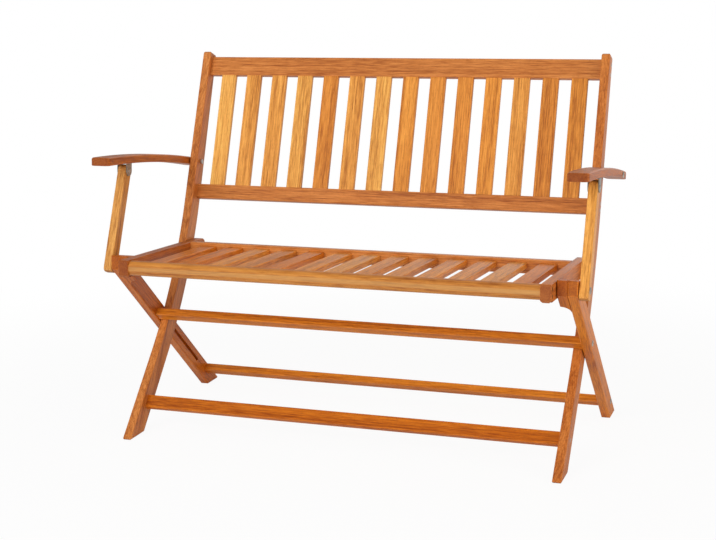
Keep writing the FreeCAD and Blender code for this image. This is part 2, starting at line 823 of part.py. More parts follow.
add_pair("seat_side_rail", build_seat_side_rail())
add("seat_front_rail", build_seat_rail(front_rail_y, front_rail_drop, front_rail_thick,
                                       front_rail_height, front_rail_round))
add("seat_rear_rail", build_seat_rail(rear_rail_y, 0.0, rear_rail_thick, rear_rail_height, 0))
for i, slat in enumerate(seat_slats(), 1):
    add("seat_slat_%02d" % i, slat)
add("seat_frame_screws", group([screw(p, seat_rail_outer, -1) for p in seat_screw_points()]))
add("seat_front_pivot_bolts", group([dome_bolt(seat_front_pivot, post_outer, seat_rail_inner - nut_reach)]))
add("seat_front_pivot_nuts", group([cap_nut(seat_front_pivot, seat_rail_inner, -1)]))
add("seat_front_pivot_washers", group([washer(seat_front_pivot, seat_rail_outer),
                                       washer(seat_front_pivot, leg_outer)]))

add_pair("rear_leg", build_rear_leg())
add("leg_head_spacers", group([build_spacer()]))
add("stop_rail", build_cross_rail(stop_rail_start, stop_rail_width, stop_rail_thick))
add("rear_stretcher", build_cross_rail(rear_stretcher_start, rear_stretcher_width, rear_stretcher_thick))
add("rear_leg_screws", group([screw(p, leg_outer, -1) for p in leg_screw_points]))

add_pair("armrest", build_armrest())
add_pair("post_bracket", build_bracket())
add_pair("bracket_fasteners", Part.makeCompound(bracket_fasteners()))
add_pair("arm_post", build_arm_post())

# The origin goes on the floor under the middle of the whole bench
whole = Part.makeCompound(list(nodes.values())).BoundBox
centre_shift = V(0, -whole.Center.y, -whole.ZMin)
for name, shape in nodes.items():
    shape.translate(centre_shift)
    shape.exportStep("parts/%s.step" % name)

print("bench", round(whole.XLength, 1), round(whole.YLength, 1), round(whole.ZLength, 1))
for label, p in (("seat rear pivot", seat_rear_pivot), ("seat front pivot", seat_front_pivot),
                 ("arm pivot", arm_pivot), ("post pivot", post_pivot), ("guide pin", guide_pin)):
    print(label, "y", round(p[0] + centre_shift.y, 3), "z", round(p[1] + centre_shift.z, 3))
print("nodes", len(nodes))
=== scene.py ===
# %% [markdown]
# # A folding garden bench in oiled hardwood
#
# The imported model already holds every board, slat, bolt and screw in its true
# shape and place. What is left for Blender is what the eye judges: grain that
# runs the right way in each board, an oil finish that shines a little where
# light grazes it, plated steel fittings, soft light and the right camera.
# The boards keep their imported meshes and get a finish. The small steel
# fittings and the front rail with its round nose are modelled again here,
# because their recesses, bends and soft rims are too fine for the solids.

import math
import random

import bmesh
import bpy
from mathutils import Matrix, Vector


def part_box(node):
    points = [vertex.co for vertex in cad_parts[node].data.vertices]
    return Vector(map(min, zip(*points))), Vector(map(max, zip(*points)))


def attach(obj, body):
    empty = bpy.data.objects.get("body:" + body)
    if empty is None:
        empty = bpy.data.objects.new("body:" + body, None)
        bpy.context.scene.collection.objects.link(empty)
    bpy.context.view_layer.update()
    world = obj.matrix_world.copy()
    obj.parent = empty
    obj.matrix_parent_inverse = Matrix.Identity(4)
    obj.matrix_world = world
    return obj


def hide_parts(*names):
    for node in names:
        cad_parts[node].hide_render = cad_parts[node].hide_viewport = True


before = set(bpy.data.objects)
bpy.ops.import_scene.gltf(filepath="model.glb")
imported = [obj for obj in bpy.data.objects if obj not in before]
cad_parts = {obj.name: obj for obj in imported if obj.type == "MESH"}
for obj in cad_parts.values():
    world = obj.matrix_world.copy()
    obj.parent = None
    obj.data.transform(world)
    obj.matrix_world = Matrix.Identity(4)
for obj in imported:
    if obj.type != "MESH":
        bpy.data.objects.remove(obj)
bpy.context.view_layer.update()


# %% [markdown]
# ## The camera
#
# The photograph was taken from a little to the right of the bench, at a
# grown-up's chest height, and looking slightly down. A camera can be placed by
# eye, but then every later comparison is in doubt. Here its place, turn and
# lens come from fitting straight edges of the bench in the picture, so the
# render can be laid over it.

# %% Camera from the fitted view
# Picture and lens in pixels, place in metres, turns in degrees, sensor in mm
PICTURE_WIDE, PICTURE_HIGH = 716, 540
LENS_PIXELS = 1457.68
LENS_AXIS = (359.26, 263.77)
CAMERA_PLACE = (1.1131, -3.2331, 1.1159)
CAMERA_YAW, CAMERA_PITCH, CAMERA_ROLL = 19.294, -11.772, -0.9655
SENSOR = 36.0

camera_data = bpy.data.cameras.new("photo_camera")
camera_data.sensor_width = SENSOR
camera_data.lens = LENS_PIXELS * SENSOR / PICTURE_WIDE
camera_data.shift_x = (PICTURE_WIDE / 2 - LENS_AXIS[0]) / PICTURE_WIDE
camera_data.shift_y = (LENS_AXIS[1] - PICTURE_HIGH / 2) / PICTURE_WIDE
camera = bpy.data.objects.new("photo_camera", camera_data)
bpy.context.scene.collection.objects.link(camera)
camera.matrix_world = (Matrix.Translation(CAMERA_PLACE)
                       @ Matrix.Rotation(math.radians(CAMERA_YAW), 4, "Z")
                       @ Matrix.Rotation(math.radians(90 + CAMERA_PITCH), 4, "X")
                       @ Matrix.Rotation(math.radians(CAMERA_ROLL), 4, "Z"))
bpy.context.scene.camera = camera
bpy.context.scene.view_settings.view_transform = "Standard"
print("lens", round(camera_data.lens, 2), "mm")

# %% [markdown]
# ## Writing shader maths
#
# A wood finish needs dozens of small sums. Wiring each Math node by hand hides
# the idea, so one small class wraps the output of a node and lets ordinary
# signs add the nodes. Every other node comes from one method, which takes the
# kind of node, its settings and what goes into its sockets.

# %% A value that varies over the surface
class Value:
    """Output of a node; sums and products with it add Math nodes."""

    def __init__(self, finish, socket):
        self.finish, self.socket = finish, socket

    def __add__(self, other):
        return self.finish.number("ADD", self, other)

    def __mul__(self, other):
        return self.finish.number("MULTIPLY", self, other)

    def __sub__(self, other):
        return self.finish.number("SUBTRACT", self, other)

    def __rsub__(self, other):
        return self.finish.number("SUBTRACT", other, self)

    def __truediv__(self, other):
        return self.finish.number("DIVIDE", self, other)

    __radd__ = __add__
    __rmul__ = __mul__

    def clamped(self):
        return self.finish.number("ADD", self, 0.0, clamp=True)

    def dot(self, way):
        """How far a place or a direction reaches along another direction."""
        return self.finish.vector("DOT_PRODUCT", self, way, out="Value")

    def step(self, low, high):
        """0 below low, 1 above high, and a smooth rise between."""
        return self.finish.add("ShaderNodeMapRange", dict(interpolation_type="SMOOTHSTEP"),
                               {"Value": self, "From Min": low, "From Max": high})


print("values can be added, multiplied, clamped and stepped")


# %% A finish and its nodes
class Finish:
    """Node tree of one material, or of the sky."""

    def __init__(self, owner):
        owner.use_nodes = True
        self.owner, self.tree = owner, owner.node_tree
        self.tree.nodes.clear()

    def add(self, kind, settings=None, inputs=(), out=0):
        """Adds a node, sets it, fills its sockets and hands back one output."""
        node = self.tree.nodes.new(kind)
        for key, value in (settings or {}).items():
            if key == "stops":
                set_stops(node.color_ramp, value)
            else:
                setattr(node, key, value)
        pairs = inputs.items() if isinstance(inputs, dict) else enumerate(inputs)
        for key, value in pairs:
            if isinstance(value, Value):
                self.tree.links.new(value.socket, node.inputs[key])
            else:
                node.inputs[key].default_value = value
        return Value(self, node.outputs[out])

    def number(self, operation, *inputs, clamp=False):
        settings = dict(operation=operation, use_clamp=clamp)
        return self.add("ShaderNodeMath", settings, list(inputs))

    def vector(self, operation, *inputs, out="Vector"):
        settings = dict(operation=operation)
        return self.add("ShaderNodeVectorMath", settings, list(inputs), out)

    def blend(self, share, a, b, how="MIX"):
        """Colour between a and b; sockets 6 and 7 are the colour pair of a Mix node."""
        settings = dict(data_type="RGBA", blend_type=how)
        return self.add("ShaderNodeMix", settings, {0: share, 6: a, 7: b}, 2)

    def noise(self, place, detail=2.0, rough=0.5, out="Fac", scale=1.0):
        sockets = {"Vector": place, "Scale": scale, "Detail": detail, "Roughness": rough}
        return self.add("ShaderNodeTexNoise", dict(noise_dimensions="3D"), sockets, out)

    def place(self, kind):
        """A place or direction at the shaded point."""
        return self.add("ShaderNodeTexCoord", out=kind)

    def ray(self, kind):
        """1 where the ray that arrives is of a kind, else 0."""
        return self.add("ShaderNodeLightPath", out="Is %s Ray" % kind)

    def surface(self, **inputs):
        """Closes the tree with one shader; names use _ for the spaces of its sockets."""
        sockets = {key.replace("_", " "): value for key, value in inputs.items()}
        self.add_output(self.add("ShaderNodeBsdfPrincipled", None, sockets, "BSDF"))
        return self.owner

    def add_output(self, shader, kind="ShaderNodeOutputMaterial"):
        node = self.tree.nodes.new(kind)
        self.tree.links.new(shader.socket, node.inputs["Surface"])


def set_stops(ramp, stops):
    """Stops of a colour ramp, as pairs of place and colour."""
    while len(ramp.elements) < len(stops):
        ramp.elements.new(1.0)
    for element, (place, colour) in zip(ramp.elements, stops):
        element.position, element.color = place, colour


def linear(share):
    """Linear value of a screen value, both from 0 to 1."""
    return share / 12.92 if share <= 0.04045 else ((share + 0.055) / 1.055) ** 2.4


def ink(red, green, blue):
    """Linear colour of a screen colour given in steps of 255."""
    return tuple(linear(c / 255) for c in (red, green, blue)) + (1.0,)


def tinted(colour, tint):
    """A colour with each of its three parts multiplied by the tint's."""
    return tuple(min(c * t, 1.0) for c, t in zip(colour, tint)) + (1.0,)


print("shader maths ready")

# %% [markdown]
# ## Light and floor
#
# The picture is a studio shot on white: large soft lights, no hard shadow. One
# plain white sky would light the bench evenly but leave it flat, so a broad
# lamp in front shapes it, and a weak, warm one on the right opens the shaded
# sides. What an oiled board mirrors matters as much as what lights it. In the
# picture the fronts mirror the dark room behind the camera and keep their
# full colour, while the tops mirror the white backdrop and show a pale
# sheen, most of all on the right. So the mirrored sky is dark in front and
# holds one white panel behind the bench, and the camera sees plain white.
# The floor looks almost white to the camera, which leaves faint shadows, and
# its far half is partly white to a board that mirrors it.

# %% Sky
WHITE = (1, 1, 1, 1)
SKY_FILL = 0.45
ROOM_GLOW = 0.10
BESIDE_PANEL = 0.08
# Reach of a direction backwards or rightwards at which a change starts and ends
BACKDROP_STARTS = (0.0, 0.7)
PANEL_STARTS, PANEL_ENDS = (-0.60, -0.18), (0.28, 0.42)

world = bpy.data.worlds.new("studio")
bpy.context.scene.world = world
sky = Finish(world)
heading = sky.place("Generated")
behind = heading.dot((0, 1, 0)).step(*BACKDROP_STARTS)
rightwards = heading.dot((1, 0, 0))
panel = rightwards.step(*PANEL_STARTS) * (1 - rightwards.step(*PANEL_ENDS))
backdrop = BESIDE_PANEL + (1 - BESIDE_PANEL) * panel
mirrored = ROOM_GLOW + (1 - ROOM_GLOW) * behind * backdrop
fill, mirror, plain = (
    sky.add("ShaderNodeBackground", None, {"Color": WHITE, "Strength": strength})
    for strength in (SKY_FILL, mirrored, 1.0))
shown = sky.add("ShaderNodeMixShader", None, [sky.ray("Glossy"), fill, mirror])
straight = (sky.ray("Camera") + sky.ray("Transmission")).clamped()
shown = sky.add("ShaderNodeMixShader", None, [straight, shown, plain])
sky.add_output(shown, "ShaderNodeOutputWorld")
print("sky fill", SKY_FILL, "and room glow", ROOM_GLOW)


# %% Lamps
LAMP_AIM = Vector((0.0, 0.0, 0.45))


def soft_lamp(name, place, size, watts, colour=(1, 1, 1)):
    """Rectangular lamp aimed at the bench; neither seen nor mirrored."""
    data = bpy.data.lights.new(name, "AREA")
    data.shape = "RECTANGLE"
    data.size, data.size_y = size
    data.energy = watts
    data.color = colour
    lamp = bpy.data.objects.new(name, data)
    bpy.context.scene.collection.objects.link(lamp)
    turn = (LAMP_AIM - Vector(place)).to_track_quat("-Z", "Y")
    lamp.matrix_world = Matrix.Translation(place) @ turn.to_matrix().to_4x4()
    lamp.visible_camera = False
    lamp.visible_glossy = False


soft_lamp("front_softbox", place=(-1.1, -3.6, 2.2), size=(2.6, 1.8), watts=92)
soft_lamp("right_softbox", place=(3.4, -0.6, 1.5), size=(2.2, 1.8), watts=38,
          colour=(1.0, 0.86, 0.68))

# %% Floor
FLOOR_SIZE = 16.0
FLOOR_DROP = 0.0004
GRIT_SCALE = 240.0
# Shares of plain white, and distances in metres over which each one changes
NEAR_WHITE, NEAR_ENDS = 0.93, (0.8, 2.0)
MIRRORED_WHITE, FAR_HALF_STARTS = 0.55, (0.4, 2.0)

bpy.ops.mesh.primitive_plane_add(size=FLOOR_SIZE, location=(0, 0, -FLOOR_DROP))
floor = bpy.context.object
floor.name = "studio_floor"
bpy.ops.object.transform_apply(location=True, rotation=True, scale=True)

paint = Finish(bpy.data.materials.new("studio_floor_paint"))
spot = paint.place("Object")
grit = paint.noise(spot, detail=3.0, scale=GRIT_SCALE)
grey = paint.blend(grit * 0.3, (0.86, 0.86, 0.86, 1), (0.80, 0.80, 0.80, 1))
matt = paint.add("ShaderNodeBsdfPrincipled", None, {"Base Color": grey, "Roughness": 0.8}, "BSDF")
white = paint.add("ShaderNodeEmission", None, {"Color": WHITE, "Strength": 1.0})
away = paint.vector("LENGTH", spot, out="Value")
to_camera = NEAR_WHITE + (1 - NEAR_WHITE) * away.step(*NEAR_ENDS)
to_mirrors = spot.dot((0, 1, 0)).step(*FAR_HALF_STARTS) * MIRRORED_WHITE
share = paint.ray("Camera") * to_camera + paint.ray("Glossy") * to_mirrors
paint.add_output(paint.add("ShaderNodeMixShader", None, [share, matt, white]))
floor.data.materials.append(paint.owner)
print("floor", floor.name)

# %% [markdown]
# ## How the grain runs
#
# A board is cut along the tree, so its figure is long and thin in one
# direction, shows as streaks on the faces and as dots and arcs on the ends.
# Painting each face by itself would break that at every edge. Instead each
# board reads one solid block of wood that runs along it, and the faces
# simply cut that block. For this every board needs its own three directions,
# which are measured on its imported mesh: the line between the middles of
# its ends, and the normal of its broadest side.

# %% Directions of a board
# The last part of a board's length is its end, a face that leans less than the
# limit along it is a side, and normals that round alike belong to one side
RIGHT = Vector((1, 0, 0))
END_PART = 0.03
SIDE_LIMIT = 0.3
NORMAL_STEPS = 12


def middle(points):
    points = list(points)
    return sum(points, Vector()) / len(points)


def board_frame(node):
    """Middle of a board, and its directions along, across and through."""
    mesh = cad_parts[node].data
    points = [v.co for v in mesh.vertices]
    low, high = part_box(node)
    longest = max(range(3), key=lambda i: high[i] - low[i])
    reach = END_PART * (high[longest] - low[longest])
    start = middle(p for p in points if p[longest] < low[longest] + reach)
    end = middle(p for p in points if p[longest] > high[longest] - reach)
    along = (end - start).normalized()
    votes = {}
    for face in mesh.polygons:
        if abs(face.normal.dot(along)) < SIDE_LIMIT:
            normal = face.normal if tuple(face.normal) > (0, 0, 0) else -face.normal
            key = tuple(round(c * NORMAL_STEPS) for c in normal)
            votes[key] = votes.get(key, Vector()) + normal * face.area
    through = max(votes.values(), key=lambda v: v.length).normalized()
    across = through.cross(along).normalized()
    return (low + high) / 2, (along, across, along.cross(across))


def board_ways(grain):
    """The same three directions for a given grain, with the broad side facing right."""
    along = grain.normalized()
    across = RIGHT.cross(along).normalized()
    return along, across, along.cross(across)


for name in ("back_top_rail", "back_slat_05", "left_rear_leg", "left_back_stile"):
    _, (along, _, through) = board_frame(name)
    print(name, "runs along", [round(c, 3) for c in along],
          "through", [round(c, 3) for c in through])

# %% [markdown]
# ## The timber finish
#
# Close up, this kind of wood shows a few layers at once: growth bands a few
# millimetres apart, wider ribbons that turn light and dark, short dashes and
# fine fibres, and open pores like pencil ticks. Over that lies a warm oil
# stain that is thicker in some places and rubbed thin on the rounded edges.
# Image scans would show all this, but would have to be unwrapped on
# forty-five boards. Stretched noise in the block of wood gives the same
# layers at their true sizes and needs no unwrapping.

# %% Sizes and tints of the layers
# Marks: length and width in millimetres, then detail and roughness of the noise
RIBBON_MARKS, DASH_MARKS = (300, 7, 1.0), (20, 1.4, 2.0, 0.62)
FIBRE_MARKS, BEND_MARKS = (60, 0.6, 3.0, 0.65), (420, 60)
PATCH_MARKS, WEAR_MARKS = (190, 40), (30, 8)
BAND_WIDTH, HEART_DISTANCE, RING_BEND = (0.0042, 0.0065), (0.03, 0.09), 0.024
PORES_PER_METRE = (90.0, 900.0, 900.0)

# How much each layer turns the stain up and down
BAND_SWING, RIBBON_SWING, DASH_SWING, FIBRE_SWING = 0.10, 0.75, 1.15, 1.10

# Tints multiply a board's own tone, and the ramp's places run from dark to light
STAIN_RAMP = [(0.20, (0.58, 0.44, 0.34)), (0.42, (0.88, 0.82, 0.74)),
              (0.60, (1.05, 1.06, 1.06)), (0.82, (1.24, 1.38, 1.60))]
PATCH_TINT = (0.93, 0.82, 0.68, 1)
PORE_TINT, END_TINT = (0.42, 0.30, 0.20), (0.42, 0.28, 0.22)
# The pale band on the front rail's nose is partly wear and partly painted highlight: its tint,
# and the facing where it shows
EDGE_TINT, WEAR_AND_HIGHLIGHT_TINT = (1.45, 1.6, 1.9), (1.25, 1.85, 4.0)
WEAR_AND_HIGHLIGHT_FACING = (0.972, 0.999)
print("layers from", FIBRE_MARKS[1], "to", BEND_MARKS[1], "mm wide")


# %% One board's finish
def timber(name, node, tone, seed, grain=None, wear_and_highlight=None):
    """Oiled wood for one board; a side facing a given direction gets a pale band, partly wear and
    partly painted highlight.
    """
    centre, ways = board_frame(node)
    if grain:
        ways = board_ways(Vector(grain))
    chance = random.Random(seed)
    wood = Finish(bpy.data.materials.new(name))
    turn = Matrix(ways)
    block = wood.add("ShaderNodeMapping", None,
                     {"Vector": wood.place("Object"),
                      "Location": -(turn @ centre), "Rotation": turn.to_euler()})
    start = Vector([chance.uniform(-40, 40) for _ in range(3)])

    def layer(length, width, detail=2.0, rough=0.5, out="Fac"):
        """Noise whose marks take half a unit each, so 500 of 1 mm fill a metre."""
        stretch = (500 / length, 500 / width, 500 / width)
        return wood.noise(wood.vector("MULTIPLY_ADD", block, stretch, start), detail, rough, out)

    def swing(mask, amount):
        """A mask that turns a sum up and down about its middle."""
        return amount * (mask - 0.5)

    # Growth bands: rings about a heart outside the board, bent by slow noise
    bend, half_bend = layer(*BEND_MARKS, out="Color"), -RING_BEND / 2
    drift = wood.vector("MULTIPLY_ADD", bend, (0.0, RING_BEND, RING_BEND),
                        (0.0, half_bend, half_bend))
    angle, distance = chance.uniform(0, 2 * math.pi), chance.uniform(*HEART_DISTANCE)
    heart = (0.0, distance * math.cos(angle), distance * math.sin(angle))
    bent = wood.vector("ADD", wood.vector("MULTIPLY_ADD", block, (0, 1, 1), heart), drift)
    age = wood.vector("LENGTH", bent, out="Value") / chance.uniform(*BAND_WIDTH)
    ring = wood.number("FRACT", age)
    bands = ring.step(0.0, 0.8) * (1 - ring.step(0.86, 1.0))

    ribbons, dashes, fibres = layer(*RIBBON_MARKS), layer(*DASH_MARKS), layer(*FIBRE_MARKS)
    share = (0.5 + swing(bands, BAND_SWING) + swing(ribbons, RIBBON_SWING)
             + swing(dashes, DASH_SWING) + swing(fibres, FIBRE_SWING)).clamped()

    # Pores: long thin cells, some of them open
    cells = {"Vector": wood.vector("MULTIPLY_ADD", block, PORES_PER_METRE, start), "Scale": 1.0}
    pore_at = wood.add("ShaderNodeTexVoronoi", None, cells, "Distance")
    pore_tint = wood.add("ShaderNodeTexVoronoi", None, cells, "Color")
    pore_pick = wood.add("ShaderNodeSeparateColor", None, [pore_tint])
    pores = (1 - pore_at.step(0.14, 0.34)) * pore_pick.step(0.35, 0.5)

    # Stain: from dark to light with the layers, and redder in slow patches
    stops = [(place, tinted(tone, tint)) for place, tint in STAIN_RAMP]
    colour = wood.add("ShaderNodeValToRGB", dict(stops=stops), [share], "Color")
    patches = layer(*PATCH_MARKS).step(0.35, 0.70)
    colour = wood.blend(patches * 0.45, colour, PATCH_TINT, "MULTIPLY")
    colour = wood.blend(pores * 0.40, colour, tinted(tone, PORE_TINT))

    # Ends soak up more oil, and rounded edges are rubbed lighter in places
    normal = wood.place("Normal")
    face_on = [wood.number("ABSOLUTE", normal.dot(way)) for way in ways]
    end = face_on[0].step(0.55, 0.85)
    edge = (4 * face_on[1] * face_on[1] * face_on[2] * face_on[2]).step(0.25, 0.9)
    colour = wood.blend(end * 0.6, colour, tinted(tone, END_TINT))
    wear = edge * layer(*WEAR_MARKS).step(0.35, 0.65) * 0.30
    colour = wood.blend(wear, colour, tinted(tone, EDGE_TINT))

    # Painted highlight and wear: a side that faces the given direction is paler along its middle
    if wear_and_highlight:
        wear_and_highlight_band = normal.dot(wear_and_highlight).step(*WEAR_AND_HIGHLIGHT_FACING) * (0.20 + 0.6 * ribbons)
        colour = wood.blend(wear_and_highlight_band, colour, tinted(tone, WEAR_AND_HIGHLIGHT_TINT))

    rough = 0.40 + swing(dashes, 0.16) + 0.20 * pores + 0.10 * end - 0.06 * edge
    height = fibres * 0.4 + bands * 0.35 + dashes * 0.3 - pores
    bump = wood.add("ShaderNodeBump", None,
                    {"Height": height, "Strength": 0.35, "Distance": 0.0004})
    return wood.surface(Base_Color=colour, Roughness=rough, Normal=bump)


print("timber finish ready")

# %% [markdown]
# ## Which board has which tone
#
# Boards of one bench come from different trees and stain differently. In the
# picture the slats change from honey to amber and rust one by one, the
# posts are the palest boards, and the arms, legs and head blocks the
# deepest. So there are a few named tones, and every board has one. Two
# boards need a word more: both head blocks are one imported node, so their
# grain is told to run down their slope, and the front rail's nose gets a
# pale band along its middle, partly wear where the backs of the knees touch
# it and partly a painted highlight.

# %% Tones
TONES = {
    "oat": ink(219, 156, 79),
    "straw": ink(231, 161, 73),
    "honey": ink(243, 176, 86),
    "wheat": ink(232, 159, 73),
    "amber": ink(229, 149, 60),
    "apricot": ink(223, 143, 58),
    "tan": ink(196, 125, 50),
    "copper": ink(207, 128, 61),
    "rust": ink(218, 127, 30),
    "russet": ink(203, 120, 51),
    "sienna": ink(203, 110, 16),
    "chestnut": ink(186, 103, 36),
}
BACK_SLATS = ["honey", "wheat", "wheat", "honey", "apricot", "wheat", "honey",
              "amber", "apricot", "apricot", "amber", "wheat", "apricot", "amber"]
SEAT_SLATS = ["rust", "rust", "amber", "apricot", "rust", "amber", "wheat",
              "amber", "apricot", "amber", "amber", "wheat", "rust"]
BOARDS = {
    "left_back_stile": "copper", "right_back_stile": "russet", "back_top_rail": "copper",
    "back_lower_rail": "copper", "front_stretcher": "sienna", "seat_front_rail": "tan",
    "seat_rear_rail": "copper", "left_seat_side_rail": "chestnut",
    "right_seat_side_rail": "russet", "left_rear_leg": "sienna", "right_rear_leg": "rust",
    "leg_head_spacers": "sienna", "stop_rail": "rust", "rear_stretcher": "rust",
    "left_armrest": "chestnut", "right_armrest": "chestnut", "left_arm_post": "oat",
    "right_arm_post": "straw",
}
BOARDS.update({"back_slat_%02d" % (i + 1): tone for i, tone in enumerate(BACK_SLATS)})
BOARDS.update({"seat_slat_%02d" % (i + 1): tone for i, tone in enumerate(SEAT_SLATS)})
GRAINS = {"leg_head_spacers": (0, 0.746, -0.666)}
# The front rail's nose faces this way; its pale band is partly wear and partly painted highlight
WEAR_AND_HIGHLIGHT = {"seat_front_rail": (0, -0.998, 0.056)}
FIRST_SEED = 11

for seed, (node, tone) in enumerate(BOARDS.items(), FIRST_SEED):
    finish = timber("timber_" + node, node, TONES[tone], seed, GRAINS.get(node), WEAR_AND_HIGHLIGHT.get(node))
    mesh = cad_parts[node].data
    mesh.materials.clear()
    mesh.materials.append(finish)
print(len(BOARDS), "boards finished")

# %% [markdown]
# ## Where the small fittings sit
#
# Bolts, nuts, washers and screws are many and small, but they are only a few
# kinds. Each kind is modelled once, standing on the origin with its head at
# the top, and copied to its places. The places could be typed in again, but
# a typed number goes wrong when a board moves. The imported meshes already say
# where each fitting is: their loose pieces are taken apart, and each one's
# box gives its middle, its reach along the bench and its radius.

# %% Loose pieces of a packed fitting
# Packed points that are closer than this are one point
WELD = 1e-6


def loose_boxes(node):
    """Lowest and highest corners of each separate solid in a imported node."""
    packed = bmesh.new()
    packed.from_mesh(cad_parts[node].data)
    bmesh.ops.remove_doubles(packed, verts=packed.verts, dist=WELD)
    left, boxes = set(packed.verts), []
    while left:
        to_visit = [left.pop()]
        found = list(to_visit)
        while to_visit:
            vertex = to_visit.pop()
            for edge in vertex.link_edges:
                other = edge.other_vert(vertex)
                if other in left:
                    left.remove(other)
                    found.append(other)
                    to_visit.append(other)
        corners = [v.co for v in found]
        boxes.append((Vector(map(min, zip(*corners))), Vector(map(max, zip(*corners)))))
    packed.free()
    return sorted(boxes, key=lambda box: tuple(box[0]))


for node in ("stile_screws", "seat_front_pivot_bolts", "right_bracket_fasteners"):
    print(node, "holds", len(loose_boxes(node)), "loose pieces")

# %% [markdown]
# ## Working by hand in edit mode
#
# Every fitting starts as a primitive and is shaped with the same few moves:
# pick some faces, inset them, push them out, bevel a rim. The picking is the
# part that a hand does with the mouse. Here a test on a face's middle and
# normal does it, so each move stays one readable line.

# %% Picking and finishing
# Points closer than TOUCH are level, and normals past FACING look up or down
MM = 0.001
TOUCH = 0.01 * MM
FACING = 0.9
SMOOTH_ANGLE = 35


def begin(kind, **sizes):
    """Adds a primitive and opens it for editing with nothing picked."""
    bpy.ops.object.select_all(action="DESELECT")
    getattr(bpy.ops.mesh, "primitive_%s_add" % kind)(**sizes)
    bpy.ops.object.transform_apply(location=True, rotation=True, scale=True)
    bpy.ops.object.mode_set(mode="EDIT")
    bpy.ops.mesh.select_mode(type="FACE")
    bpy.ops.mesh.select_all(action="DESELECT")
    return bpy.context.object


def pick(piece, test):
    """Picks the faces whose middle and normal pass a test."""
    bpy.ops.mesh.select_all(action="DESELECT")
    bpy.ops.object.mode_set(mode="OBJECT")
    for face in piece.data.polygons:
        face.select = test(face.center, face.normal)
    bpy.ops.object.mode_set(mode="EDIT")


def pick_edges(piece, test):
    """Picks the edges whose two ends pass a test."""
    bpy.ops.mesh.select_mode(type="EDGE")
    bpy.ops.mesh.select_all(action="DESELECT")
    bpy.ops.object.mode_set(mode="OBJECT")
    points = piece.data.vertices
    for edge in piece.data.edges:
        edge.select = test(*(points[i].co for i in edge.vertices))
    bpy.ops.object.mode_set(mode="EDIT")


def top_face(piece):
    highest = max(v.co.z for v in piece.data.vertices)
    return lambda middle, normal: normal.z > FACING and middle.z > highest - TOUCH


def bottom_face(piece):
    lowest = min(v.co.z for v in piece.data.vertices)
    return lambda middle, normal: normal.z < -FACING and middle.z < lowest + TOUCH


def both_ends(middle, normal):
    return abs(normal.z) > FACING


def push(distance):
    """Draws the picked faces out along Z."""
    bpy.ops.mesh.extrude_region_move(TRANSFORM_OT_translate={"value": (0, 0, distance)})


def take(*pieces):
    """Picks whole objects, the first as the active one."""
    bpy.ops.object.select_all(action="DESELECT")
    for piece in pieces:
        piece.select_set(True)
    bpy.context.view_layer.objects.active = pieces[0]


def close(piece):
    """Leaves edit mode and smooths all but the sharp edges."""
    if bpy.context.mode == "EDIT_MESH":
        bpy.ops.mesh.select_mode(type="FACE")
        bpy.ops.object.mode_set(mode="OBJECT")
    take(piece)
    bpy.ops.object.shade_smooth_by_angle(angle=math.radians(SMOOTH_ANGLE))
    return piece


def apply(piece, kind, **settings):
    """Adds a modifier, sets it and applies it."""
    modifier = piece.modifiers.new(kind.lower(), kind)
    for key, value in settings.items():
        setattr(modifier, key, value)
    take(piece)
    bpy.ops.object.modifier_apply(modifier=modifier.name)


def combine(piece, tool, operation):
    """Unites a piece with a tool or cuts the tool's shape out, and drops the tool."""
    apply(piece, "BOOLEAN", operation=operation, solver="EXACT", object=tool)
    drop(tool)


def drop(piece):
    bpy.data.objects.remove(piece)


print("edges sharper than", SMOOTH_ANGLE, "degrees stay crisp")


# %% Setting copies in their places
def set_copies(name, master, places):
    """Copies of a master, each turned and moved, joined into one piece."""
    copies = []
    for place in places:
        copy = bpy.data.objects.new(name, master.data.copy())
        copy.data.transform(place)
        bpy.context.scene.collection.objects.link(copy)
        copies.append(copy)
    return joined(name, copies)


def joined(name, pieces):
    """Several objects made into one under a name."""
    take(*pieces)
    if len(pieces) > 1:
        bpy.ops.object.join()
    piece = bpy.context.object
    piece.name = name
    return piece


def facing(point, way):
    """Matrix that stands a master on a point with its head towards a direction."""
    turn = Vector(way).to_track_quat("Z", "Y")
    return Matrix.Translation(point) @ turn.to_matrix().to_4x4()


def fit(piece, body, finish, *nodes, slot="steel"):
    """Gives a new piece its finish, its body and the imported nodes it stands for."""
    piece.data.materials.clear()
    piece.data.materials.append(finish)
    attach(piece, body)
    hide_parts(*nodes)
    print(piece.name, len(piece.data.polygons), "faces on", body)


print("edit helpers ready")

# %% [markdown]
# ## The rail under the knees
#
# The seat's front rail is a round-nosed bar: its front swells into one soft
# curve from top to bottom, so that it doesn't cut into the legs, and the curve
# shows as a pale band with darker edges. The band is partly the curve's own
# shading and partly a painted highlight with some wear, set in the rail's
# finish. The imported rail has smaller rounds. The new one is a block with
# its two front edges bevelled so wide that they almost meet, laid at the
# imported rail's own tilt.

# %% Which way a tilted piece lies
SIDE_VIEW_LIMIT = 0.1


def flat_normal(node):
    """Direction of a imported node's largest flat in the side view, pointing down."""
    votes = {}
    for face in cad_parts[node].data.polygons:
        if abs(face.normal.x) < SIDE_VIEW_LIMIT:
            normal = face.normal if face.normal.z < 0 else -face.normal
            key = (round(normal.y, 2), round(normal.z, 2))
            votes[key] = votes.get(key, Vector()) + normal * face.area
    return max(votes.values(), key=lambda v: v.length).normalized()


def span(node, way):
    """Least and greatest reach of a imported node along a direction."""
    reach = [v.co.dot(way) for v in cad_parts[node].data.vertices]
    return min(reach), max(reach)


print("the front rail faces back along", [round(c, 3) for c in flat_normal("seat_front_rail")])


# %% Round-nosed front rail
NOSE_ROUND = 14.0 * MM
BACK_ROUND = 1.5 * MM


